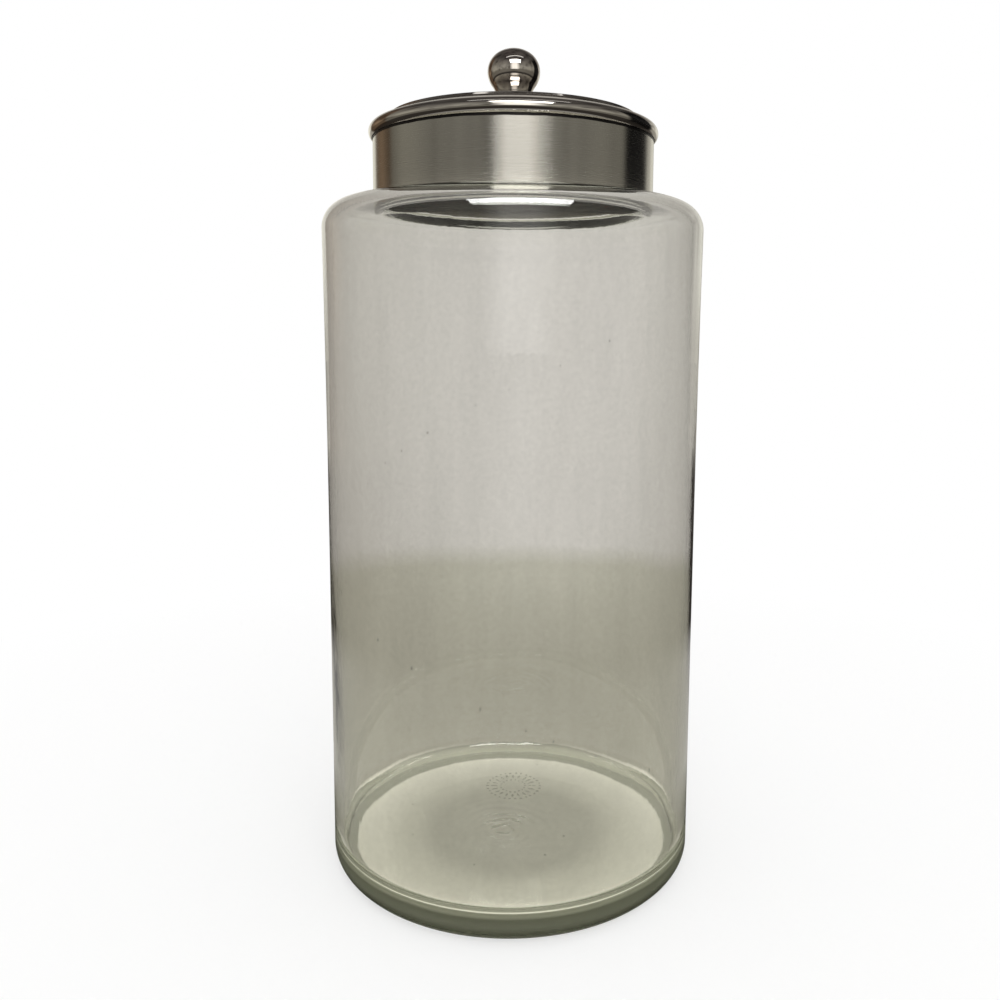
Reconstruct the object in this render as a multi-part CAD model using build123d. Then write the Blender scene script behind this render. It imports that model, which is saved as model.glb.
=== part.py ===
from build123d import *
import math
import os

# Coin bank jar: a tall round glass jar with a slip-over metal lid and a ball knob.
# Millimetres, +Z up, origin at the centre of the foot, on the surface the jar stands on.
# Round pieces are drawn as half sections, (radius, height), and turned about Z.

# Glass jar
BODY_RADIUS = 100.0
SWELL = 0.7                   # the body is this much wider at the shoulder
SWELL_START = 200.0           # height at which the body starts to widen
WALL = 4.3
HEEL_RADIUS = 11.0            # outer rounding between foot and body
FOOT_INNER = 64.0             # inner edge of the flat ring that the jar stands on
PUSH_UP = 2.5                 # hollow under the middle of the foot
FLOOR = 13.0                  # height of the inner floor at its edge
FLOOR_CROWN = 1.5             # extra height of the inner floor at its centre
FLOOR_FILLET = 9.0
SHOULDER = 345.4              # height at which the shoulder starts
SHOULDER_RADIUS = 14.2
SHOULDER_RISE = 0.6           # climb of the shoulder's top towards the neck
NECK_RADIUS = 71.8
NECK_WALL = 4.0
NECK_FILLET = 2.0             # outer corner between shoulder and neck
THROAT_RADIUS = 5.0           # inner corner between neck and shoulder
RIM = 397.0                   # top of the fire-polished rim

# Lid crown
SHEET = 0.8
BEAD_RADIUS = 4.0             # outside radius of the rolled bead's section
BEAD_CENTRE = (72.15, 395.4)
BEAD_END = -54.0              # angle round the bead's section where it meets the band
BRIM_SLOPE = 22.5             # degrees
STEP_RADIUS = 66.5            # outside of the step between brim and dome
STEP_WIDTH = 0.9
STEP_HEIGHT = 1.2
LAND_RADIUS = 14.0            # flat land that the knob stands on
CROWN = 409.0                 # top of the crown
SLOT_LENGTH = 38.0            # coin slot, along X
SLOT_WIDTH = 5.0
SLOT_Y = -36.0
SCREW_HOLE_RADIUS = 2.75

# Lid band
BAND_SHEET = 0.7
BAND_RADIUS = 74.0
BAND_BOTTOM = 361.6
BAND_TOP = 395.8
HEM_HEIGHT = 4.0              # the lower edge is folded in, two sheets thick
FLANGE_RADIUS = 75.2          # the upper edge is turned out into the bead

# Gasket
GASKET_INNER = 66.5
GASKET_OUTER = 73.2
GASKET_BOTTOM = RIM + 0.25
GASKET_EDGE_TOP = 398.3
LIP_INNER = NECK_RADIUS + 0.4
LIP_BOTTOM = 389.0            # lower end of the lip that hangs round the neck

# Knob
KNOB_RADIUS = 13.85
KNOB_WIDEST = 428.4           # height of the widest circle
KNOB_UPPER = 11.8             # height of the ball above its widest circle
KNOB_SIDE = 11.0              # section radius of the ball's upper side
KNOB_LOWER = 12.6             # semi-axis of the ball's lower half
KNOB_JOIN_ANGLE = -34.0       # where the ball runs into its neck, round the lower ellipse
WAIST_RADIUS = 9.2
WAIST = 415.6
KNOB_FOOT_RADIUS = 11.6
KNOB_FOOT_EDGE = 1.2

# Screw and washer
SCREW_RADIUS = 2.5
SCREW_ROOM = 0.05             # radial room in the knob's hole
SCREW_TOP = 423.0
WASHER_RADIUS = 7.5
WASHER_HEIGHT = 1.2
HEAD_RADIUS = 4.75
HEAD_HEIGHT = 3.0
HEAD_ROUND = 1.8
RECESS_LENGTH = 5.4           # cross recess in the screw's head
RECESS_WIDTH = 1.1
RECESS_DEPTH = 1.6


def turn(*edges):
    """Closes a half section and turns it about Z."""
    return revolve(Plane.XZ * make_face(edges), Axis.Z)


def ring(inner, outer, bottom, top):
    """A plain ring of rectangular section."""
    section = Polyline((inner, bottom), (outer, bottom), (outer, top), (inner, top), close=True)
    return turn(*section.edges())


def on_circle(centre, radius, angle):
    """The point of a section at an angle round a centre, in degrees."""
    turned = math.radians(angle)
    return (centre[0] + radius * math.cos(turned), centre[1] + radius * math.sin(turned))


def arc(centre, radius, start, end):
    """An arc of a section between two angles, in degrees."""
    angles = (start, (start + end) / 2, end)
    return ThreePointArc(*[on_circle(centre, radius, angle) for angle in angles])


def glass_jar():
    lip = NECK_WALL / 2
    foot_outer = BODY_RADIUS - HEEL_RADIUS
    outer_shoulder = (BODY_RADIUS + SWELL - SHOULDER_RADIUS, SHOULDER)
    neck_foot = SHOULDER + SHOULDER_RADIUS + SHOULDER_RISE
    bore = BODY_RADIUS - WALL
    inner_shoulder_radius = SHOULDER_RADIUS - WALL
    inner_shoulder = (bore - inner_shoulder_radius, SHOULDER)
    ceiling = SHOULDER + inner_shoulder_radius
    mouth = NECK_RADIUS - NECK_WALL
    floor_edge = bore - FLOOR_FILLET

    outside = [
        TangentArc((0, PUSH_UP), (FOOT_INNER, 0), tangent=(1, 0)),
        Line((FOOT_INNER, 0), (foot_outer, 0)),
        arc((foot_outer, HEEL_RADIUS), HEEL_RADIUS, -90, 0),
        Line((BODY_RADIUS, HEEL_RADIUS), (BODY_RADIUS, SWELL_START)),
        TangentArc((BODY_RADIUS, SWELL_START), (BODY_RADIUS + SWELL, SHOULDER), tangent=(0, 1)),
        arc(outer_shoulder, SHOULDER_RADIUS, 0, 90),
        Line((outer_shoulder[0], neck_foot - SHOULDER_RISE), (NECK_RADIUS + NECK_FILLET, neck_foot)),
        arc((NECK_RADIUS + NECK_FILLET, neck_foot + NECK_FILLET), NECK_FILLET, 270, 180),
        Line((NECK_RADIUS, neck_foot + NECK_FILLET), (NECK_RADIUS, RIM - lip)),
    ]
    inside = [
        arc((NECK_RADIUS - lip, RIM - lip), lip, 0, 180),
        Line((mouth, RIM - lip), (mouth, ceiling + THROAT_RADIUS)),
        arc((mouth + THROAT_RADIUS, ceiling + THROAT_RADIUS), THROAT_RADIUS, 180, 270),
        Line((mouth + THROAT_RADIUS, ceiling), (inner_shoulder[0], ceiling)),
        arc(inner_shoulder, inner_shoulder_radius, 90, 0),
        Line((bore, SHOULDER), (bore, FLOOR + FLOOR_FILLET)),
        arc((floor_edge, FLOOR + FLOOR_FILLET), FLOOR_FILLET, 0, -90),
        TangentArc((0, FLOOR + FLOOR_CROWN), (floor_edge, FLOOR), tangent=(1, 0)),
        Line((0, FLOOR + FLOOR_CROWN), (0, PUSH_UP)),
    ]
    return turn(*outside, *inside)


def brim_top(radius):
    """Height of the brim's outer surface at a radius."""
    start = on_circle(BEAD_CENTRE, BEAD_RADIUS, 90 - BRIM_SLOPE)
    return start[1] + (start[0] - radius) * math.tan(math.radians(BRIM_SLOPE))


def dome(inner, outer):
    """Arc between two points whose centre is on the axis, so that it turns into part of a sphere."""
    drop = inner[1] - outer[1]
    depth = (outer[0] ** 2 - inner[0] ** 2 + drop ** 2) / (2 * drop)
    centre = (0, inner[1] - depth)
    start = math.degrees(math.atan2(depth, inner[0]))
    end = math.degrees(math.atan2(depth - drop, outer[0]))
    return arc(centre, math.hypot(inner[0], depth), start, end)


def lid_cap():
    step_foot = (STEP_RADIUS, brim_top(STEP_RADIUS))
    step_top = (STEP_RADIUS - STEP_WIDTH, step_foot[1] + STEP_HEIGHT)
    outer = Wire([
        Line((0, CROWN), (LAND_RADIUS, CROWN)),
        dome((LAND_RADIUS, CROWN), step_top),
        Line(step_top, step_foot),
        Line(step_foot, on_circle(BEAD_CENTRE, BEAD_RADIUS, 90 - BRIM_SLOPE)),
        arc(BEAD_CENTRE, BEAD_RADIUS, 90 - BRIM_SLOPE, BEAD_END),
    ])
    sheet = make_face(outer.offset_2d(SHEET, side=Side.RIGHT).edges())
    crown = revolve(Plane.XZ * sheet, Axis.Z)
    slot = SlotOverall(SLOT_LENGTH, SLOT_WIDTH)
    cutters = [
        Pos(0, SLOT_Y, CROWN - 8) * extrude(slot, 16),
        Pos(0, 0, CROWN) * Cylinder(SCREW_HOLE_RADIUS, 4 * SHEET),
    ]
    return crown - cutters


def lid_skirt():
    inner = BAND_RADIUS - BAND_SHEET
    hem = inner - BAND_SHEET
    section = Polyline(
        (hem, BAND_BOTTOM), (BAND_RADIUS, BAND_BOTTOM), (BAND_RADIUS, BAND_TOP - BAND_SHEET),
        (FLANGE_RADIUS, BAND_TOP - BAND_SHEET), (FLANGE_RADIUS, BAND_TOP), (inner, BAND_TOP),
        (inner, BAND_BOTTOM + HEM_HEIGHT), (hem, BAND_BOTTOM + HEM_HEIGHT), close=True)
    return turn(*section.edges())


def lid_gasket():
    slope = math.tan(math.radians(BRIM_SLOPE))
    inner_top = GASKET_EDGE_TOP + (GASKET_OUTER - GASKET_INNER) * slope
    section = Polyline(
        (GASKET_INNER, GASKET_BOTTOM), (LIP_INNER, GASKET_BOTTOM), (LIP_INNER, LIP_BOTTOM),
        (GASKET_OUTER, LIP_BOTTOM), (GASKET_OUTER, GASKET_EDGE_TOP), (GASKET_INNER, inner_top),
        close=True)
    return turn(*section.edges())


def knob():
    side = (KNOB_RADIUS - KNOB_SIDE, KNOB_WIDEST)
    top_radius = (side[0] ** 2 + KNOB_UPPER ** 2 - KNOB_SIDE ** 2) / (2 * (KNOB_UPPER - KNOB_SIDE))
    top = (0, KNOB_WIDEST + KNOB_UPPER - top_radius)
    meeting = math.degrees(math.atan2(side[1] - top[1], side[0]))
    turned = math.radians(KNOB_JOIN_ANGLE)
    join = (KNOB_RADIUS * math.cos(turned), KNOB_WIDEST + KNOB_LOWER * math.sin(turned))
    falling = (KNOB_RADIUS * math.sin(turned), -KNOB_LOWER * math.cos(turned))
    hole = SCREW_RADIUS + SCREW_ROOM
    hole_top = SCREW_TOP + 1
    body = turn(
        arc(top, top_radius, 90, meeting),
        arc(side, KNOB_SIDE, meeting, 0),
        EllipticalCenterArc((0, KNOB_WIDEST), KNOB_RADIUS, KNOB_LOWER, 0, arc_size=KNOB_JOIN_ANGLE),
        Spline(join, (WAIST_RADIUS, WAIST), (KNOB_FOOT_RADIUS, CROWN + KNOB_FOOT_EDGE),
               tangents=(falling, (1.0, -0.5))),
        Line((KNOB_FOOT_RADIUS, CROWN + KNOB_FOOT_EDGE), (KNOB_FOOT_RADIUS, CROWN)),
        Line((KNOB_FOOT_RADIUS, CROWN), (0, CROWN)),
        Line((0, CROWN), (0, KNOB_WIDEST + KNOB_UPPER)),
    )
    return body - Pos(0, 0, (CROWN + hole_top) / 2) * Cylinder(hole, hole_top - CROWN)


def knob_washer():
    top = CROWN - SHEET
    return ring(SCREW_HOLE_RADIUS, WASHER_RADIUS, top - WASHER_HEIGHT, top)


def knob_screw():
    seat = CROWN - SHEET - WASHER_HEIGHT
    bottom = seat - HEAD_HEIGHT
    screw = turn(
        Line((0, SCREW_TOP), (SCREW_RADIUS, SCREW_TOP)),
        Line((SCREW_RADIUS, SCREW_TOP), (SCREW_RADIUS, seat)),
        Line((SCREW_RADIUS, seat), (HEAD_RADIUS, seat)),
        Line((HEAD_RADIUS, seat), (HEAD_RADIUS, bottom + HEAD_ROUND)),
        arc((HEAD_RADIUS - HEAD_ROUND, bottom + HEAD_ROUND), HEAD_ROUND, 0, -90),
        Line((HEAD_RADIUS - HEAD_ROUND, bottom), (0, bottom)),
        Line((0, bottom), (0, SCREW_TOP)),
    )
    arm = Box(RECESS_LENGTH, RECESS_WIDTH, 2 * RECESS_DEPTH)
    cross = Pos(0, 0, bottom) * (arm + Rot(0, 0, 90) * arm)
    return screw - cross


PIECES = {
    "glass_jar": glass_jar,
    "lid_cap": lid_cap,
    "lid_skirt": lid_skirt,
    "lid_gasket": lid_gasket,
    "knob": knob,
    "knob_washer": knob_washer,
    "knob_screw": knob_screw,
}

os.makedirs("parts", exist_ok=True)
for node, make in PIECES.items():
    export_step(make(), f"parts/{node}.step")
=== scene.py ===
import math

import bmesh
import bpy
from mathutils import Matrix, Vector

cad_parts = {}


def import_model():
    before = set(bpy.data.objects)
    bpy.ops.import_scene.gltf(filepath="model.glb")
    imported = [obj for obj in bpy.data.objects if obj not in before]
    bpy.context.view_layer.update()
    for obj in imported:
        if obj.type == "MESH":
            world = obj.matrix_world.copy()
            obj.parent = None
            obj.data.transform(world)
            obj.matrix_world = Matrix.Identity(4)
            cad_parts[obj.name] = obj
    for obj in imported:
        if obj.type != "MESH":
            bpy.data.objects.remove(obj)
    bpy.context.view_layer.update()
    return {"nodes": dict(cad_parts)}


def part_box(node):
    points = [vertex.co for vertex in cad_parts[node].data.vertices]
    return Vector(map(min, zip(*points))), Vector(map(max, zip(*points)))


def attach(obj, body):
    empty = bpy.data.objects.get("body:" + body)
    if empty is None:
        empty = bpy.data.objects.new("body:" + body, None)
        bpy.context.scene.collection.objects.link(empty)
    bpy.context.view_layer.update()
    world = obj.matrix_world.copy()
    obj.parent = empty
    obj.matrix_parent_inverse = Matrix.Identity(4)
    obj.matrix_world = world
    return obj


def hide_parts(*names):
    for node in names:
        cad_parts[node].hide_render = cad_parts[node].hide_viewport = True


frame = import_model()

# Coin bank jar: the looks. Metres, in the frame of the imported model, +Z up, -Y to the front.
# Round pieces are turned from half sections, which are lists of (radius, height).

MM = 0.001

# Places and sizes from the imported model
jar_low, jar_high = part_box("glass_jar")
cap_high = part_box("lid_cap")[1]
band_low, band_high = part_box("lid_skirt")
gasket_low, gasket_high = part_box("lid_gasket")
knob_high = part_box("knob")[1]
RIM = jar_high.z
CROWN = cap_high.z
BEAD_OUTER = cap_high.x
FLANGE_RADIUS = band_high.x
KNOB_RADIUS = knob_high.x

# Glass
SWELL = 0.7 * MM
BODY_RADIUS = jar_high.x - SWELL
WALL = 4.3 * MM
BORE = BODY_RADIUS - WALL
HEEL_RADIUS = 11 * MM
FOOT_INNER = 64 * MM
PUSH_UP = 2.5 * MM
FLOOR = 13 * MM
FLOOR_CROWN = 1.5 * MM
FLOOR_FILLET = 9 * MM
FLOOR_EDGE = BORE - FLOOR_FILLET
SWELL_START = 200 * MM
SHOULDER = 345.4 * MM
SHOULDER_RADIUS = 14.2 * MM
SHOULDER_RISE = 0.6 * MM
NECK_RADIUS = 71.8 * MM
NECK_WALL = 4 * MM
NECK_FILLET = 2 * MM
THROAT_RADIUS = 5 * MM
GLASS_SEGMENTS = 224
OUTSIDE_WANDER = 0.16 * MM        # how far the faces of the glass stray from true
BORE_WANDER = 0.13 * MM
RIPPLE_HEIGHT = 0.32 * MM
RIPPLE_LENGTH = 6.5 * MM
RIPPLE_FADE = 24 * MM
RIPPLE_CENTRE = (-3 * MM, -14 * MM)
BROAD_RIPPLE = 0.12 * MM
GOLDEN_TURN = 2.399963            # radians from each bubble to the next, so that they never line up
MARK_CENTRE = (1 * MM, 44 * MM)
MARK_HEIGHT = 7.4 * MM

# Lid
SHEET = 0.8 * MM
BEAD_RADIUS = 4 * MM
BEAD_CENTRE = (BEAD_OUTER - BEAD_RADIUS, 395.4 * MM)
BEAD_END = -60
BRIM_SLOPE = 22.5
STEP_RADIUS = 66.5 * MM
STEP_WIDTH = 0.55 * MM
STEP_HEIGHT = 1.2 * MM
LAND_RADIUS = 14 * MM
SCREW_HOLE = 2.75 * MM            # radius
SLOT_LENGTH = 38 * MM
SLOT_WIDTH = 5 * MM
SLOT_Y = -36 * MM
BAND_RADIUS = 74 * MM
BAND_SHEET = 0.7 * MM
HEM_HEIGHT = 4 * MM
LIP_INNER = NECK_RADIUS + 0.4 * MM
METAL_SEGMENTS = 256
CRIMP_ROWS = 14                   # rows of points over which the tucked edge grows uneven
CRIMP_HEIGHT = 0.16 * MM
TUCK_ROWS = 5                     # rows of faces on each side of that edge, painted near black as shade in its tuck
GASKET_INNER = 66.5 * MM
GASKET_GAP = 0.25 * MM            # between the rim and the gasket
GASKET_SEGMENTS = 160

# Knob
KNOB_WIDEST = 428.4 * MM
KNOB_UPPER = knob_high.z - KNOB_WIDEST
KNOB_SIDE = 11 * MM
KNOB_LOWER = 12.6 * MM
KNOB_JOIN_ANGLE = -34
WAIST_RADIUS = 9.2 * MM
WAIST = 415.6 * MM
KNOB_FOOT_RADIUS = 11.6 * MM
KNOB_FOOT_EDGE = 1.2 * MM
KNOB_SEGMENTS = 128


# ---------------------------------------------------------------- drawing half sections

def on_circle(centre, radius, angle):
    a = math.radians(angle)
    return (centre[0] + radius * math.cos(a), centre[1] + radius * math.sin(a))


def arc(centre, radius, start, end, steps):
    return [on_circle(centre, radius, start + (end - start) * k / steps) for k in range(steps + 1)]


def line(start, end, steps):
    return [tuple(a + (b - a) * k / steps for a, b in zip(start, end)) for k in range(steps + 1)]


def shallow_arc(centre_radius, height, edge_radius, drop, steps):
    """From (centre_radius, height), level, down to edge_radius on a circle."""
    width = edge_radius - centre_radius
    radius = (width ** 2 + drop ** 2) / (2 * drop)
    points = []
    for k in range(steps + 1):
        x = width * k / steps
        points.append((centre_radius + x, height - radius + math.sqrt(radius ** 2 - x ** 2)))
    return points


def sphere_arc(inner, outer, steps):
    """Between two points, on a circle whose centre is on the axis."""
    drop = inner[1] - outer[1]
    depth = (outer[0] ** 2 - inner[0] ** 2 + drop ** 2) / (2 * drop)
    start = math.degrees(math.atan2(depth, inner[0]))
    end = math.degrees(math.atan2(depth - drop, outer[0]))
    return arc((0, inner[1] - depth), math.hypot(inner[0], depth), start, end, steps)


def hermite(start, leave, end, arrive, steps):
    """A smooth curve between two points, with its direction and pull given at each."""
    points = []
    p = Vector(start)
    q = Vector(end)
    for k in range(steps + 1):
        t = k / steps
        at = (p * (2 * t ** 3 - 3 * t ** 2 + 1) + leave * (t ** 3 - 2 * t ** 2 + t)
              + q * (3 * t ** 2 - 2 * t ** 3) + arrive * (t ** 3 - t ** 2))
        points.append(tuple(at))
    return points


def join(*runs):
    """One list of points, with the doubled ones at the joins left out."""
    points = []
    for run in runs:
        for p in run:
            if not points or math.dist(p, points[-1]) > 1e-7:
                points.append(p)
    return points


def rounded(points, radius, steps=6):
    """Rounds each corner of a closed outline with a small curve of steps + 1 points."""
    result = []
    count = len(points)
    for k in range(count):
        before, here, after = (Vector(points[(k + i) % count]) for i in (-1, 0, 1))
        to_before, to_after = (before - here).normalized(), (after - here).normalized()
        half = to_before.angle(to_after) / 2
        reach = min(radius / math.tan(half), 0.45 * (before - here).length, 0.45 * (after - here).length)
        start, end = here + to_before * reach, here + to_after * reach
        for s in range(steps + 1):
            t = s / steps
            bend = start * (1 - t) ** 2 + here * 2 * t * (1 - t) + end * t ** 2
            result.append(tuple(bend))
    return result


def offset(points, distance):
    """The line of points moved to its left by a distance."""
    moved = []
    for k, p in enumerate(points):
        a, b = points[max(k - 1, 0)], points[min(k + 1, len(points) - 1)]
        along = (Vector(b) - Vector(a)).normalized()
        moved.append((p[0] - along.y * distance, p[1] + along.x * distance))
    return moved


# ---------------------------------------------------------------- meshes

def add_object(name, verts, faces):
    mesh = bpy.data.meshes.new(name)
    mesh.from_pydata(verts, [], faces)
    mesh.validate()
    mesh.shade_smooth()
    piece = bpy.data.objects.new(name, mesh)
    bpy.context.scene.collection.objects.link(piece)
    return piece


def around(radius, angle, height):
    """A point at a radius and height, turned about the axis by an angle in radians."""
    return (radius * math.cos(angle), radius * math.sin(angle), height)


def turn(profile, segments, closed=False, shift=None):
    """Vertices and faces of a turned surface. An open profile starts and ends on the axis and a
    closed one is a ring's section. shift(index, radius, height, angle) moves a point."""
    verts, rings, faces = [], [], []
    for k, (radius, height) in enumerate(profile):
        if radius < 1e-7:
            rings.append([len(verts)])
            verts.append((0, 0, height))
            continue
        rings.append(list(range(len(verts), len(verts) + segments)))
        for s in range(segments):
            angle = 2 * math.pi * s / segments
            out, up = shift(k, radius, height, angle) if shift else (0, 0)
            verts.append(around(radius + out, angle, height + up))
    pairs = list(zip(rings, rings[1:]))
    if closed:
        pairs.append((rings[-1], rings[0]))
    for low, high in pairs:
        for s in range(segments):
            t = (s + 1) % segments
            if len(low) == 1:
                faces.append((low[0], high[t], high[s]))
            elif len(high) == 1:
                faces.append((low[s], low[t], high[0]))
            else:
                faces.append((low[s], low[t], high[t], high[s]))
    return verts, faces


def face_outwards(piece, crease=40):
    mesh = bmesh.new()
    mesh.from_mesh(piece.data)
    bmesh.ops.recalc_face_normals(mesh, faces=mesh.faces)
    mesh.to_mesh(piece.data)
    mesh.free()
    piece.data.shade_smooth()
    piece.data.set_sharp_from_angle(angle=math.radians(crease))


def cavity(verts, faces, centre, axes, turned=0.0, segments=10, rings=6):
    """Adds a small closed hollow to the lists: an ellipsoid whose faces look into the hollow."""
    first = len(verts)
    cos_t, sin_t = math.cos(turned), math.sin(turned)
    for i in range(1, rings):
        lat = math.pi * i / rings - math.pi / 2
        for s in range(segments):
            lon = 2 * math.pi * s / segments
            x = axes[0] * math.cos(lat) * math.cos(lon)
            y = axes[1] * math.cos(lat) * math.sin(lon)
            verts.append((centre[0] + x * cos_t - y * sin_t, centre[1] + x * sin_t + y * cos_t,
                          centre[2] + axes[2] * math.sin(lat)))
    bottom, top = len(verts), len(verts) + 1
    verts.append((centre[0], centre[1], centre[2] - axes[2]))
    verts.append((centre[0], centre[1], centre[2] + axes[2]))
    last = first + (rings - 2) * segments
    for s in range(segments):
        t = (s + 1) % segments
        faces.append((first + s, first + t, bottom))
        faces.append((last + t, last + s, top))
        for i in range(rings - 2):
            a = first + i * segments
            faces.append((a + t, a + s, a + segments + s, a + segments + t))


# ---------------------------------------------------------------- the glass jar

def jar_profile():
    lip = NECK_WALL / 2
    foot_outer = BODY_RADIUS - HEEL_RADIUS
    outer_shoulder = (BODY_RADIUS + SWELL - SHOULDER_RADIUS, SHOULDER)
    neck_foot = SHOULDER + SHOULDER_RADIUS + SHOULDER_RISE
    inner_radius = SHOULDER_RADIUS - WALL
    inner_shoulder = (BORE - inner_radius, SHOULDER)
    ceiling = SHOULDER + inner_radius
    mouth = NECK_RADIUS - NECK_WALL
    swell = [(BODY_RADIUS + SWELL * t * t, SWELL_START + (SHOULDER - SWELL_START) * t)
             for t in [k / 24 for k in range(25)]]
    outside = join(
        shallow_arc(0, PUSH_UP, FOOT_INNER, PUSH_UP, 50),
        line((FOOT_INNER, 0), (foot_outer, 0), 12),
        arc((foot_outer, HEEL_RADIUS), HEEL_RADIUS, -90, 0, 22),
        line((BODY_RADIUS, HEEL_RADIUS), (BODY_RADIUS, SWELL_START), 40),
        swell,
        arc(outer_shoulder, SHOULDER_RADIUS, 0, 90, 28),
        line((outer_shoulder[0], neck_foot - SHOULDER_RISE), (NECK_RADIUS + NECK_FILLET, neck_foot), 8),
        arc((NECK_RADIUS + NECK_FILLET, neck_foot + NECK_FILLET), NECK_FILLET, 270, 180, 8),
        line((NECK_RADIUS, neck_foot + NECK_FILLET), (NECK_RADIUS, RIM - lip), 10),
    )
    inside = join(
        arc((NECK_RADIUS - lip, RIM - lip), lip, 0, 180, 14),
        line((mouth, RIM - lip), (mouth, ceiling + THROAT_RADIUS), 10),
        arc((mouth + THROAT_RADIUS, ceiling + THROAT_RADIUS), THROAT_RADIUS, 180, 270, 14),
        line((mouth + THROAT_RADIUS, ceiling), (inner_shoulder[0], ceiling), 8),
        arc(inner_shoulder, inner_radius, 90, 0, 24),
        line((BORE, SHOULDER), (BORE, FLOOR + FLOOR_FILLET), 60),
        arc((FLOOR_EDGE, FLOOR + FLOOR_FILLET), FLOOR_FILLET, 0, -90, 20),
        shallow_arc(0, FLOOR + FLOOR_CROWN, FLOOR_EDGE, FLOOR_CROWN, 70)[::-1],
    )
    return outside, inside


def outside_wander(height, angle):
    """Blown glass is never true: the outer face lies a little inside its line, unevenly."""
    ease = min(1, (height - HEEL_RADIUS) / (40 * MM), (SHOULDER - height) / (30 * MM))
    wander = (0.5 + 0.3 * math.sin(2 * angle + 0.8 + 9 * height)
              + 0.2 * math.sin(5 * angle - 14 * height))
    return -OUTSIDE_WANDER * ease * wander


def bore_wander(height, angle):
    """The bore strays in and out, in finer waves."""
    ease = min(1, (height - FLOOR - FLOOR_FILLET) / (30 * MM), (SHOULDER - height) / (40 * MM))
    wander = (math.sin(3 * angle + 11 * height) + 0.6 * math.sin(7 * angle - 17 * height + 1.1)
              + 0.35 * math.sin(13 * angle + 23 * height + 2.0)
              + 0.5 * math.sin(46 * height + math.sin(2 * angle)))
    return BORE_WANDER * max(ease, 0) * wander


def floor_ripple(radius, angle):
    """The inner floor keeps its chill ripples, round a point a little in front of the middle."""
    x = radius * math.cos(angle)
    y = radius * math.sin(angle)
    along = x - RIPPLE_CENTRE[0]
    across = y - RIPPLE_CENTRE[1]
    away = math.hypot(along, across)
    swirl = math.atan2(across, along)
    bend = 1.8 * math.sin(swirl + 0.6) + 0.9 * math.sin(3 * swirl + 180 * away)
    ripple = math.sin(2 * math.pi * away / RIPPLE_LENGTH + bend) * math.exp(-(away / RIPPLE_FADE) ** 2)
    broad = math.sin(x * 90 + 1.0) * math.cos(y * 120)
    rim_fade = 1 - (radius / FLOOR_EDGE) ** 4
    return (RIPPLE_HEIGHT * ripple + BROAD_RIPPLE * broad) * rim_fade


def glass_jar(glass):
    outside, inside = jar_profile()

    def waviness(index, radius, height, angle):
        if index < len(outside):
            on_body = HEEL_RADIUS <= height <= SHOULDER
            return (outside_wander(height, angle), 0) if on_body else (0, 0)
        if radius > BORE - 0.01 * MM and height < SHOULDER:
            return bore_wander(height, angle), 0
        if radius < FLOOR_EDGE and height < FLOOR + 2 * FLOOR_CROWN:
            return 0, floor_ripple(radius, angle)
        return 0, 0

    verts, faces = turn(join(outside, inside), GLASS_SEGMENTS, shift=waviness)
    seeds(verts, faces)
    base_mark(verts, faces)
    piece = add_object("jar_glass", verts, faces)
    paint(piece, glass)
    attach(piece, "jar")
    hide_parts("glass_jar")
    return piece


def scattered(k, step):
    """A share of 1 that jumps about as k counts up."""
    return (k * step) % 1


def seeds(verts, faces):
    """Small trapped bubbles, drawn out along the wall, and rounder ones in the thick foot."""
    for k in range(26):
        height = (40 + 290 * scattered(k, 0.618034)) * MM
        radius = BODY_RADIUS - WALL * (0.35 + 0.3 * scattered(k, 0.731))
        across = (0.22 + 0.2 * scattered(k, 0.377)) * MM
        tall = across * (1.5 + 2 * scattered(k, 0.53))
        cavity(verts, faces, around(radius, GOLDEN_TURN * k, height), (across, across, tall))
    for k in range(9):
        height = (6 + 3 * scattered(k, 0.29)) * MM
        radius = (20 + 60 * scattered(k, 0.618034)) * MM
        across = (0.3 + 0.35 * scattered(k, 0.41)) * MM
        cavity(verts, faces, around(radius, GOLDEN_TURN * k + 1, height), (across, across, across * 0.8))


def base_mark(verts, faces):
    """A plain moulded mark in the foot: two rings of dots and a ring of short bars, with no lettering."""
    outer_dots = (30, 17, (0.75, 0.75, 0.45))
    inner_dots = (18, 8, (0.65, 0.65, 0.4))
    bars = (20, 12.4, (2.1, 0.6, 0.45))
    for count, ring, axes in (outer_dots, inner_dots, bars):
        for k in range(count):
            angle = 2 * math.pi * k / count
            x, y, height = around(ring * MM, angle, MARK_HEIGHT)
            cavity(verts, faces, (MARK_CENTRE[0] + x, MARK_CENTRE[1] + y, height),
                   [a * MM for a in axes], turned=angle, segments=8, rings=4)


# ---------------------------------------------------------------- the lid

def brim_top(radius):
    """Height of the sloping brim's upper face."""
    start = on_circle(BEAD_CENTRE, BEAD_RADIUS, 90 - BRIM_SLOPE)
    return start[1] + (start[0] - radius) * math.tan(math.radians(BRIM_SLOPE))


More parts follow.
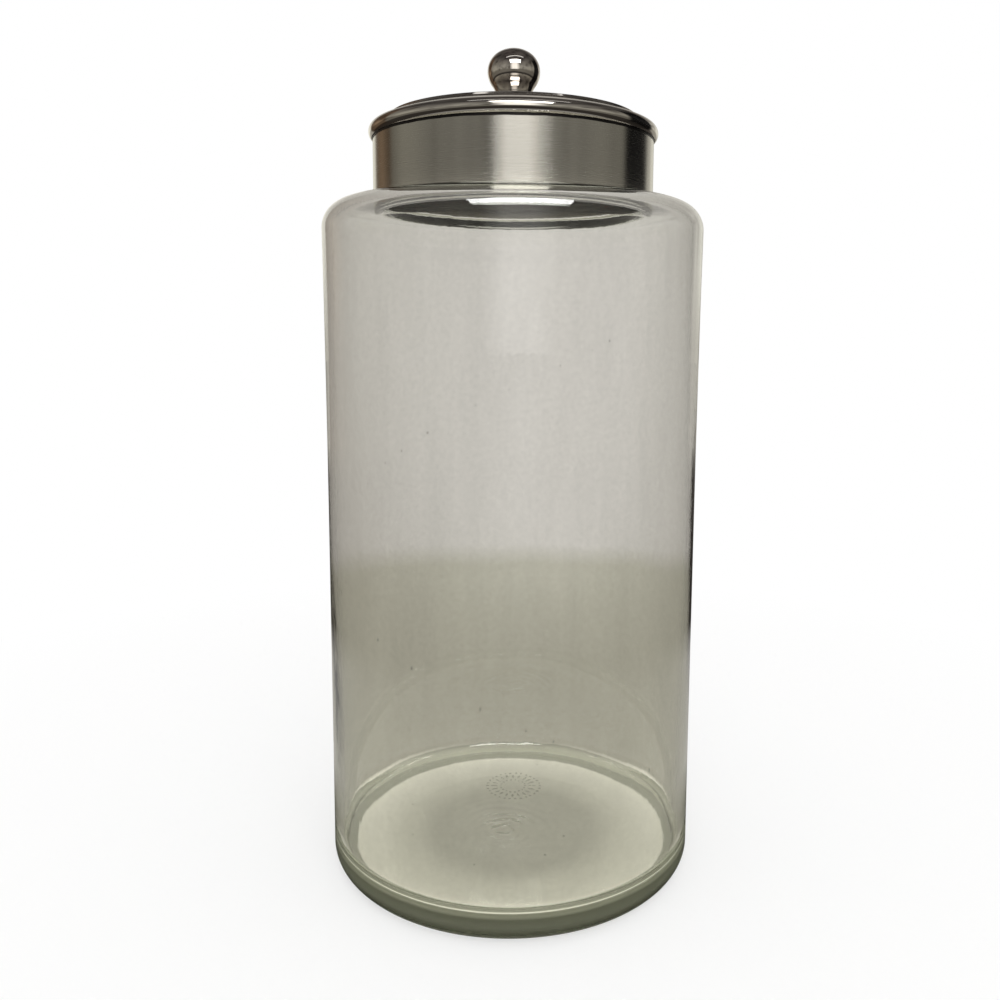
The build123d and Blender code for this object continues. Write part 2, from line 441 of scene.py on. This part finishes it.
def lid_cap(polished, dull, tucked):
    step_foot = (STEP_RADIUS, brim_top(STEP_RADIUS))
    step_top = (STEP_RADIUS - STEP_WIDTH, step_foot[1] + STEP_HEIGHT)
    dome = sphere_arc((LAND_RADIUS, CROWN), step_top, 48)
    bead = arc(BEAD_CENTRE, BEAD_RADIUS, 90 - BRIM_SLOPE, BEAD_END, 38)
    # Each rounded corner has 9 points, and only the step's own two corners are kept.
    step_corners = rounded([dome[-2], step_top, step_foot, bead[0]], 0.4 * MM, 8)[9:27]
    bead += line(bead[-1], (BAND_RADIUS + 0.1 * MM, bead[-1][1] - 1.0 * MM), 3)[1:]
    top = join(line((SCREW_HOLE, CROWN), (LAND_RADIUS, CROWN), 6), dome[:-1], step_corners,
               line(step_corners[-1], bead[0], 8), bead)
    under = offset(top, -SHEET)
    section = join(under, top[::-1])

    def crimp(index, radius, height, angle):
        """The tucked edge of the bead is not quite even round the lid."""
        into_edge = min(index, 2 * len(under) - 1 - index) - (len(under) - CRIMP_ROWS)
        if into_edge < 0:
            return 0, 0
        share = (into_edge / CRIMP_ROWS) ** 2
        waves = math.sin(9 * angle) + 0.7 * math.sin(23 * angle + 1) + 0.5 * math.sin(51 * angle + 2)
        return 0, CRIMP_HEIGHT * share * waves / 2.2

    verts, faces = turn(section, METAL_SEGMENTS, closed=True, shift=crimp)
    piece = add_object("crown_polished", verts, faces)
    face_outwards(piece)
    paint(piece, polished, dull, tucked)
    # Material 1 is the dull underside. Material 2, near black, is painted shade along the tucked edge,
    # inside and out.
    for face in piece.data.polygons:
        row = face.index // METAL_SEGMENTS
        if row < len(under) - TUCK_ROWS:
            face.material_index = 1
        elif row < len(under) + TUCK_ROWS:
            face.material_index = 2
    cut_slot(piece)
    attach(piece, "lid")
    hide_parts("lid_cap")


def cut_slot(piece):
    """Punches the coin slot."""
    reach = (SLOT_LENGTH - SLOT_WIDTH) / 2
    outline = (arc((reach, SLOT_Y), SLOT_WIDTH / 2, -90, 90, 16)
               + arc((-reach, SLOT_Y), SLOT_WIDTH / 2, 90, 270, 16))
    count = len(outline)
    verts = [(x, y, CROWN + side * 10 * MM) for side in (-1, 1) for x, y in outline]
    faces = [tuple(range(count - 1, -1, -1)), tuple(range(count, 2 * count))]
    faces += [(k, (k + 1) % count, count + (k + 1) % count, count + k) for k in range(count)]
    cutter = add_object("slot_cutter", verts, faces)
    face_outwards(cutter)
    change = piece.modifiers.new("slot", "BOOLEAN")
    change.operation = "DIFFERENCE"
    change.solver = "EXACT"
    change.object = cutter
    graph = bpy.context.evaluated_depsgraph_get()
    cut = bpy.data.meshes.new_from_object(piece.evaluated_get(graph))
    piece.modifiers.clear()
    piece.data = cut
    piece.data.shade_smooth()
    piece.data.set_sharp_from_angle(angle=math.radians(40))
    bpy.data.objects.remove(cutter)


def lid_band(material):
    """The plain band under the bead, with a flange on top and its lower edge hemmed inwards."""
    inner = BAND_RADIUS - BAND_SHEET
    hem = inner - BAND_SHEET
    bottom = band_low.z
    top = band_high.z
    corners = [(hem, bottom), (BAND_RADIUS, bottom), (BAND_RADIUS, top - BAND_SHEET),
               (FLANGE_RADIUS, top - BAND_SHEET), (FLANGE_RADIUS, top), (inner, top),
               (inner, bottom + HEM_HEIGHT), (hem, bottom + HEM_HEIGHT)]
    verts, faces = turn(rounded(corners, 0.3 * MM, 4), METAL_SEGMENTS, closed=True)
    piece = add_object("band_brushed", verts, faces)
    face_outwards(piece, 60)
    paint(piece, material)
    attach(piece, "lid")
    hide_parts("lid_skirt")


def lid_gasket(material):
    """A ring over the rim, with a lip down outside the neck and its top sloped like the brim."""
    outer = gasket_high.x
    seat = RIM + GASKET_GAP
    top = gasket_high.z
    edge_top = top - (outer - GASKET_INNER) * math.tan(math.radians(BRIM_SLOPE))
    corners = [(GASKET_INNER, seat), (LIP_INNER, seat), (LIP_INNER, gasket_low.z),
               (outer, gasket_low.z), (outer, edge_top), (GASKET_INNER, top)]
    verts, faces = turn(rounded(corners, 0.4 * MM, 4), GASKET_SEGMENTS, closed=True)
    piece = add_object("gasket_seal", verts, faces)
    face_outwards(piece, 60)
    paint(piece, material)
    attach(piece, "lid")
    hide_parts("lid_gasket")


def knob(material):
    """A flattened ball on a waist that flares to a foot."""
    side = (KNOB_RADIUS - KNOB_SIDE, KNOB_WIDEST)
    top_radius = (side[0] ** 2 + KNOB_UPPER ** 2 - KNOB_SIDE ** 2) / (2 * (KNOB_UPPER - KNOB_SIDE))
    top = (0, KNOB_WIDEST + KNOB_UPPER - top_radius)
    meeting = math.degrees(math.atan2(side[1] - top[1], side[0]))
    ball_low = []
    for k in range(17):
        a = math.radians(KNOB_JOIN_ANGLE * k / 16)
        ball_low.append((KNOB_RADIUS * math.cos(a), KNOB_WIDEST + KNOB_LOWER * math.sin(a)))
    falling = Vector((KNOB_RADIUS * math.sin(a), -KNOB_LOWER * math.cos(a))).normalized()
    down = Vector((0, -5 * MM))
    waist = (WAIST_RADIUS, WAIST)
    foot = (KNOB_FOOT_RADIUS, CROWN + KNOB_FOOT_EDGE)
    neck = hermite(ball_low[-1], falling * 6 * MM, waist, down, 14)
    flare = hermite(waist, down, foot, Vector((4 * MM, -1.6 * MM)), 12)
    # Only the middle corner, of 5 points, is kept.
    edge = rounded([foot, (KNOB_FOOT_RADIUS, CROWN), (0, CROWN)], 0.35 * MM, 4)[5:10]
    profile = join(arc(top, top_radius, 90, meeting, 16), arc(side, KNOB_SIDE, meeting, 0, 20),
                   ball_low, neck, flare, edge, [(0, CROWN)])
    verts, faces = turn(profile[::-1], KNOB_SEGMENTS)
    piece = add_object("knob_polished", verts, faces)
    face_outwards(piece, 50)
    paint(piece, material)
    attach(piece, "lid")
    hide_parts("knob")


# ---------------------------------------------------------------- materials

# Glass, by place on the jar
HEEL_PAINTED_SHADE = (0.19, 0.20, 0.17, 1)        # painted shade: stands in for what is left of light that crosses the thick heel
SATIN_HEIGHT = 4.5 * MM                  # satin below this height, clear from EDGE_SOFTNESS above it
SATIN_ROUGHNESS = 0.8
EDGE_SOFTNESS = 1.5 * MM

# Metals
NICKEL = (0.60, 0.57, 0.53)
KNOB_NICKEL = (0.58, 0.54, 0.50)
INSIDE_TONES = ((0.21, 0.21, 0.23), (0.29, 0.29, 0.31))
# Painted shade: near black, for the tuck along the bead's edge.
TUCK_SHADE_TONES = ((0.02, 0.018, 0.018), (0.03, 0.027, 0.027))


def paint(piece, *materials):
    piece.data.materials.clear()
    for material in materials:
        piece.data.materials.append(material)


def grey(tone):
    return (tone, tone, tone)


def new_material(name):
    material = bpy.data.materials.new(name)
    material.use_nodes = True
    tree = material.node_tree
    return material, tree, tree.nodes["Principled BSDF"]


def add_node(tree, kind, links=None, **settings):
    """Adds a node. links gives its inputs, each from a socket or a plain value."""
    node = tree.nodes.new(kind)
    for key, value in settings.items():
        setattr(node, key, value)
    for key, value in (links or {}).items():
        if isinstance(value, bpy.types.NodeSocket):
            tree.links.new(value, node.inputs[key])
        else:
            node.inputs[key].default_value = value
    return node


def ramp(tree, factor, stops):
    node = add_node(tree, "ShaderNodeValToRGB", {"Fac": factor})
    elements = node.color_ramp.elements
    while len(elements) < len(stops):
        elements.new(0.5)
    for element, (position, colour) in zip(elements, stops):
        element.position = position
        element.color = (*colour, 1)
    return node.outputs["Color"]


def rescale(tree, value, low, high, to_low=0.0, to_high=1.0):
    """A value moved from one range to another, and held at the ends."""
    node = add_node(tree, "ShaderNodeMapRange", {"Value": value, "From Min": low, "From Max": high,
                                                 "To Min": to_low, "To Max": to_high})
    return node.outputs["Result"]


def mix(tree, share, first, second, blend="MIX"):
    """Two colours mixed. The inputs are numbered because the node names each kind of input alike."""
    node = add_node(tree, "ShaderNodeMix", {0: share, 6: first, 7: second}, data_type="RGBA",
                    blend_type=blend)
    return node.outputs[2]


def multiply(tree, first, second, share=1.0):
    return mix(tree, share, first, second, "MULTIPLY")


def noise(tree, scale, detail, roughness=0.5):
    """Noise over the piece's own coordinates, in metres, with a scale for each axis."""
    place = add_node(tree, "ShaderNodeTexCoord")
    mapped = add_node(tree, "ShaderNodeMapping", {"Vector": place.outputs["Object"], "Scale": scale})
    node = add_node(tree, "ShaderNodeTexNoise", {"Vector": mapped.outputs["Vector"], "Scale": 1.0,
                                                 "Detail": detail, "Roughness": roughness})
    return node.outputs["Fac"]


def roughen(tree, shader, height, strength, distance):
    bump = add_node(tree, "ShaderNodeBump",
                    {"Height": height, "Strength": strength, "Distance": distance})
    tree.links.new(bump.outputs["Normal"], shader.inputs["Normal"])


def foot_share(tree, radius, height, inner, top):
    """1 outside a radius and below a height, 0 elsewhere, with a soft edge."""
    outside = rescale(tree, radius, inner - 1 * MM, inner + 1 * MM)
    below = rescale(tree, height, top, top + EDGE_SOFTNESS, 1.0, 0.0)
    return add_node(tree, "ShaderNodeMath", {0: outside, 1: below}, operation="MULTIPLY").outputs["Value"]


def glass_material():
    """Clear glass with a slight green cast, satin under the foot, and painted shade in the thick heel."""
    material, tree, shader = new_material("clear_glass")
    place = add_node(tree, "ShaderNodeTexCoord").outputs["Object"]
    height = add_node(tree, "ShaderNodeSeparateXYZ", {"Vector": place}).outputs["Z"]
    level = add_node(tree, "ShaderNodeVectorMath", {0: place, 1: (1, 1, 0)}, operation="MULTIPLY")
    radius = add_node(tree, "ShaderNodeVectorMath", {0: level.outputs["Vector"]},
                      operation="LENGTH").outputs["Value"]

    tint = ramp(tree, rescale(tree, height, 0.0, SHOULDER), [
        (0.0, (0.962, 0.960, 0.935)), (0.5, (0.978, 0.975, 0.963)), (1.0, (0.99, 0.987, 0.98))])
    streaks = ramp(tree, noise(tree, (45, 45, 9), 4.0, 0.65), [(0.3, grey(0.93)), (0.7, grey(1.0))])
    grain = ramp(tree, noise(tree, (380, 380, 380), 2.0), [(0.35, grey(0.962)), (0.65, grey(1.0))])
    wall = multiply(tree, tint, multiply(tree, streaks, grain))
    # Painted shade darkens the heel: out past the heel's start below its top, and in the wall's outer half
    # up to the inner floor.
    under = foot_share(tree, radius, height, BODY_RADIUS - HEEL_RADIUS, HEEL_RADIUS)
    side = foot_share(tree, radius, height, BODY_RADIUS - WALL / 2, FLOOR + FLOOR_CROWN)
    heel = add_node(tree, "ShaderNodeMath", {0: under, 1: side}, operation="MAXIMUM").outputs["Value"]
    tree.links.new(mix(tree, heel, wall, HEEL_PAINTED_SHADE), shader.inputs["Base Color"])

    satin = rescale(tree, height, SATIN_HEIGHT, SATIN_HEIGHT + EDGE_SOFTNESS, SATIN_ROUGHNESS, 0.0)
    tree.links.new(satin, shader.inputs["Roughness"])
    roughen(tree, shader, noise(tree, (90, 90, 55), 3.0, 0.6), 0.10, 0.4 * MM)
    shader.inputs["IOR"].default_value = 1.5
    shader.inputs["Transmission Weight"].default_value = 1.0
    volume = add_node(tree, "ShaderNodeVolumeAbsorption", {"Color": (0.70, 0.73, 0.62, 1), "Density": 38.0})
    tree.links.new(volume.outputs["Volume"], tree.nodes["Material Output"].inputs["Volume"])
    return material


def polished_material(name, colour, roughness):
    """Mirror-polished nickel with faint wiping marks."""
    material, tree, shader = new_material(name)
    smudge = noise(tree, (60, 60, 60), 5.0, 0.55)
    tree.links.new(rescale(tree, smudge, 0.35, 0.75, roughness, roughness * 2.2),
                   shader.inputs["Roughness"])
    dimmer = tuple(0.94 * channel for channel in colour)
    tree.links.new(ramp(tree, smudge, [(0.3, colour), (0.75, dimmer)]), shader.inputs["Base Color"])
    shader.inputs["Metallic"].default_value = 1.0
    return material


def brushed_material():
    """Satin nickel, brushed round the band in fine level lines."""
    material, tree, shader = new_material("brushed_band")
    lines = noise(tree, (10, 10, 9000), 3.0, 0.6)
    tone = ramp(tree, lines, [(0.3, (0.50, 0.485, 0.44)), (0.7, (0.56, 0.545, 0.50))])
    tree.links.new(tone, shader.inputs["Base Color"])
    tree.links.new(rescale(tree, lines, 0.3, 0.7, 0.24, 0.28), shader.inputs["Roughness"])
    roughen(tree, shader, lines, 0.12, 0.01 * MM)
    tangent = add_node(tree, "ShaderNodeTangent", direction_type="RADIAL", axis="Z")
    tree.links.new(tangent.outputs["Tangent"], shader.inputs["Tangent"])
    shader.inputs["Metallic"].default_value = 1.0
    shader.inputs["Anisotropic"].default_value = 1.0
    shader.inputs["Anisotropic Rotation"].default_value = 0.25
    return material


def gasket_material():
    """Soft translucent white seal."""
    material, tree, shader = new_material("gasket_rubber")
    tone = ramp(tree, noise(tree, (120, 120, 120), 4.0),
                [(0.3, (0.70, 0.70, 0.67)), (0.7, (0.80, 0.80, 0.77))])
    tree.links.new(tone, shader.inputs["Base Color"])
    shader.inputs["Roughness"].default_value = 0.55
    shader.inputs["Subsurface Weight"].default_value = 0.3
    shader.inputs["Subsurface Scale"].default_value = 0.003
    return material


def plain_metal(name, darker, lighter, grain, detail, roughness):
    """Unpolished metal, a little uneven in tone."""
    material, tree, shader = new_material(name)
    tone = ramp(tree, noise(tree, (grain, grain, grain), detail), [(0.3, darker), (0.7, lighter)])
    tree.links.new(tone, shader.inputs["Base Color"])
    shader.inputs["Metallic"].default_value = 1.0
    shader.inputs["Roughness"].default_value = roughness
    return material


# ---------------------------------------------------------------- camera, stage and light

BACKDROP = (1, 1, 1, 1)
FILL = (0.9, 0.9, 0.89, 1)                # soft light from all round
WALL_TONE = (0.79, 0.758, 0.739)          # seen through the glass
FLOOR_TONE = (0.477, 0.456, 0.392)
FAR_FLOOR_TONE = (0.60, 0.578, 0.505)
FLOOR_SHINE = (0.20, 0.19, 0.165)         # seen in the metal
WINDOW = (1.45, 1.42, 1.38)
BLACK = grey(0.0)
WHITE = grey(1.0)
FLOOR_GAP = 0.05 * MM                     # between the jar's foot and the floor
LIT_PLACE = (0, -0.07, 0.40)              # where the lamps point
FLOOR_REACH = 2.0                         # the floor's tones are set out over this distance


def camera():
    """Close and a little below the lid: it looks down on the foot and up at the lid."""
    data = bpy.data.cameras.new("camera")
    data.angle = math.radians(55.2)
    data.shift_x = -0.030
    data.shift_y = -0.050
    data.clip_start = 0.01
    eye = bpy.data.objects.new("camera", data)
    eye.location = (9.75 * MM, -524.4 * MM, 293.9 * MM)
    tilt = Matrix.Rotation(math.radians(90 - 7.152), 4, "X")
    roll = Matrix.Rotation(math.radians(0.363), 4, "Z")
    eye.rotation_euler = (tilt @ roll).to_euler()
    bpy.context.scene.collection.objects.link(eye)
    bpy.context.scene.camera = eye


def area_light(name, place, width, height, power, colour):
    data = bpy.data.lights.new(name, "AREA")
    data.shape = "RECTANGLE"
    data.size = width
    data.size_y = height
    data.energy = power
    data.color = colour
    lamp = bpy.data.objects.new(name, data)
    lamp.location = place
    lamp.rotation_euler = (Vector(LIT_PLACE) - Vector(place)).to_track_quat("-Z", "Y").to_euler()
    bpy.context.scene.collection.objects.link(lamp)
    return lamp


def shine_only_on(lamp, piece, name):
    receivers = bpy.data.collections.new(name)
    receivers.objects.link(piece)
    lamp.light_linking.receiver_collection = receivers


def side_shade(tree, direction):
    """The tone behind the glass grows a little darker towards the sides."""
    across = add_node(tree, "ShaderNodeSeparateXYZ", {"Vector": direction}).outputs["X"]
    return ramp(tree, rescale(tree, across, -1.0, 1.0), [
        (0.00, (0.62, 0.60, 0.58)), (0.25, (0.70, 0.68, 0.66)), (0.43, (0.90, 0.90, 0.89)),
        (0.50, grey(0.98)), (0.53, WHITE), (0.57, grey(0.97)), (0.75, (0.76, 0.75, 0.73)),
        (1.00, (0.62, 0.61, 0.60))])


def bearing(tree, direction):
    """Share of the turn about the upright: 0 and 1 to the front, 0.5 to the back, 0.75 to the right."""
    split = add_node(tree, "ShaderNodeSeparateXYZ", {"Vector": direction})
    around = add_node(tree, "ShaderNodeMath", {0: split.outputs["X"], 1: split.outputs["Y"]},
                      operation="ARCTAN2")
    return rescale(tree, around.outputs["Value"], -math.pi, math.pi)


def room_bands(tree, direction):
    """What metal reflects round the room: a wooden post, a bright wall behind and a dark post."""
    return ramp(tree, bearing(tree, direction), [
        (0.00, grey(0.9)), (0.10, grey(1.15)), (0.310, (0.90, 0.88, 0.84)),
        (0.320, (0.66, 0.50, 0.39)), (0.360, (0.74, 0.53, 0.39)), (0.400, (0.45, 0.32, 0.24)),
        (0.410, grey(2.2)), (0.615, grey(2.0)), (0.630, (0.04, 0.04, 0.045)),
        (0.715, (0.04, 0.04, 0.045)), (0.730, (0.85, 0.84, 0.82)), (0.90, grey(1.15)),
        (1.00, grey(0.9))])


def window_light(tree, direction, height):
    """A bright window to the front, a little to the right, from the horizon up."""
    across = ramp(tree, bearing(tree, direction), [
        (0.00, WINDOW), (0.012, WINDOW), (0.045, BLACK), (0.925, BLACK), (0.965, WINDOW), (1.00, WINDOW)])
    up = ramp(tree, height, [
        (0.0, BLACK), (0.455, BLACK), (0.49, WHITE), (0.72, WHITE), (0.80, BLACK), (1.0, BLACK)])
    return multiply(tree, across, up)


def disc(radii, segments):
    """Vertices and faces of a flat disc, in rings."""
    verts = [(0, 0, 0)]
    for radius in radii:
        verts += [around(radius, 2 * math.pi * s / segments, 0) for s in range(segments)]
    faces = [(0, 1 + s, 1 + (s + 1) % segments) for s in range(segments)]
    for k in range(len(radii) - 1):
        a = 1 + k * segments
        b = a + segments
        faces += [(a + s, b + s, b + (s + 1) % segments, a + (s + 1) % segments) for s in range(segments)]
    return verts, faces


def floor():
    """A pale floor. The camera sees it white, with a soft shadow near the foot. Through the glass it
    is a dimmer floor that ends at a wall, and in the metal it is dim, with a dark stretch."""
    piece = add_object("floor", *disc([0.5, 1.0, 2.0, 4.0, 8.0], 64))
    piece.location.z = jar_low.z - FLOOR_GAP
    material, tree, shader = new_material("pale_floor")
    shader.inputs["Base Color"].default_value = (0.9, 0.9, 0.9, 1)
    shader.inputs["Roughness"].default_value = 1.0
    shader.inputs["Specular IOR Level"].default_value = 0.0
    path = add_node(tree, "ShaderNodeLightPath")
    place = add_node(tree, "ShaderNodeTexCoord").outputs["Object"]
    distance = add_node(tree, "ShaderNodeVectorMath", {0: place}, operation="LENGTH").outputs["Value"]
    direction = add_node(tree, "ShaderNodeVectorMath", {0: place}, operation="NORMALIZE").outputs["Vector"]
    reach = rescale(tree, distance, 0.0, FLOOR_REACH)

    glow = add_node(tree, "ShaderNodeEmission", {"Color": BACKDROP, "Strength": 1.0})
    seen = add_node(tree, "ShaderNodeMixShader", {"Fac": rescale(tree, distance, 0.12, 0.6, 0.62, 1.0),
                                                  1: shader.outputs["BSDF"], 2: glow.outputs["Emission"]})

    outwards = ramp(tree, reach, [
        (0.0, FLOOR_TONE), (0.15, FLOOR_TONE), (0.30, FAR_FLOOR_TONE), (0.33, FAR_FLOOR_TONE),
        (0.39, WALL_TONE), (1.0, WALL_TONE)])
    # Painted light: seen through the glass, the floor under the foot glows brighter, most in a ring out
    # under the heel.
    painted_light_under_foot = ramp(tree, distance, [
        (0.00, (1.14, 1.14, 1.16)), (0.044, (1.20, 1.20, 1.23)), (0.060, (1.75, 1.75, 1.82)),
        (0.084, (2.45, 2.45, 2.6)), (0.090, (2.9, 2.9, 3.0)), (0.106, (2.9, 2.9, 3.0)), (0.120, WHITE)])
    through_glass = multiply(tree, multiply(tree, outwards, painted_light_under_foot), side_shade(tree, direction),
                             rescale(tree, distance, 0.15, 0.6))

    dim = ramp(tree, reach, [
        (0.0, (0.06, 0.06, 0.05)), (0.065, (0.06, 0.06, 0.05)), (0.09, (0.45, 0.44, 0.42)),
        (0.19, (0.45, 0.44, 0.42)), (0.24, (0.04, 0.035, 0.03)), (0.72, (0.05, 0.045, 0.04)),
        (1.0, FLOOR_SHINE)])
    in_metal = multiply(tree, dim, room_bands(tree, direction), rescale(tree, distance, 0.3, 1.5))

    unseen = add_node(tree, "ShaderNodeEmission", {
        "Color": mix(tree, path.outputs["Is Transmission Ray"], in_metal, through_glass), "Strength": 1.0})
    both = add_node(tree, "ShaderNodeMixShader", {"Fac": path.outputs["Is Camera Ray"],
                                                  1: unseen.outputs["Emission"], 2: seen.outputs["Shader"]})
    tree.links.new(both.outputs["Shader"], tree.nodes["Material Output"].inputs["Surface"])
    paint(piece, material)


def world():
    """A white backdrop. Glass shows, and metal reflects, a dimmer room in warm grey."""
    studio = bpy.data.worlds.new("studio")
    bpy.context.scene.world = studio
    studio.use_nodes = True
    tree = studio.node_tree
    tree.nodes.clear()
    path = add_node(tree, "ShaderNodeLightPath")
    direction = add_node(tree, "ShaderNodeTexCoord").outputs["Generated"]
    upwards = add_node(tree, "ShaderNodeSeparateXYZ", {"Vector": direction}).outputs["Z"]
    height = rescale(tree, upwards, -1.0, 1.0)

    room = ramp(tree, height, [
        (0.0, FLOOR_SHINE), (0.49, FLOOR_SHINE), (0.53, (0.36, 0.35, 0.31)), (0.62, (0.33, 0.32, 0.29)),
        (0.70, (0.22, 0.21, 0.19)), (0.80, (0.16, 0.15, 0.14)), (0.90, (0.07, 0.065, 0.06)),
        (1.0, (0.10, 0.09, 0.085))])
    blotches = add_node(tree, "ShaderNodeTexNoise", {"Vector": direction, "Scale": 2.6, "Detail": 3.0})
    patchy = ramp(tree, blotches.outputs["Fac"], [
        (0.36, (0.45, 0.43, 0.42)), (0.47, WHITE), (0.64, (1.35, 1.35, 1.33))])
    below_ceiling = ramp(tree, height, [(0.0, WHITE), (0.78, WHITE), (0.88, BLACK)])
    bands = multiply(tree, patchy, room_bands(tree, direction), below_ceiling)
    in_metal = mix(tree, 1.0, multiply(tree, room, bands), window_light(tree, direction, height), "ADD")

    through_glass = multiply(tree, (*WALL_TONE, 1), side_shade(tree, direction))
    lighting = mix(tree, path.outputs["Is Glossy Ray"], FILL, in_metal)
    unseen = mix(tree, path.outputs["Is Transmission Ray"], lighting, through_glass)
    colour = mix(tree, path.outputs["Is Camera Ray"], unseen, BACKDROP)
    background = add_node(tree, "ShaderNodeBackground", {"Color": colour, "Strength": 1.0})
    add_node(tree, "ShaderNodeOutputWorld", {"Surface": background.outputs["Background"]})


# ---------------------------------------------------------------- the scene

camera()
floor()
world()
area_light("panel", (0.16, -1.17, 1.40), 1.15, 0.50, 9.0, (1.0, 0.995, 0.98))
area_light("tube", (0.05, -0.40, 1.50), 1.20, 0.10, 0.45, (1.0, 1.0, 0.99))

jar = glass_jar(glass_material())
sheen = area_light("sheen", (0.12, -1.17, 1.40), 1.50, 0.42, 40.0, (1.0, 1.0, 0.99))
shine_only_on(sheen, jar, "only_glass")
# The third material is painted shade, near black, for the tuck under the bead.
lid_cap(polished_material("polished_steel", NICKEL, 0.05),
        plain_metal("dull_inside", *INSIDE_TONES, 70, 4.0, 0.42),
        plain_metal("tuck_painted_shade", *TUCK_SHADE_TONES, 70, 4.0, 0.42))
lid_band(brushed_material())
lid_gasket(gasket_material())
knob(polished_material("polished_knob", KNOB_NICKEL, 0.04))
steel = plain_metal("plain_steel", (0.52, 0.53, 0.55), (0.64, 0.65, 0.66), 900, 3.0, 0.33)
for fastener in ("knob_washer", "knob_screw"):
    paint(frame["nodes"][fastener], steel)

bpy.context.scene.view_settings.view_transform = "Standard"
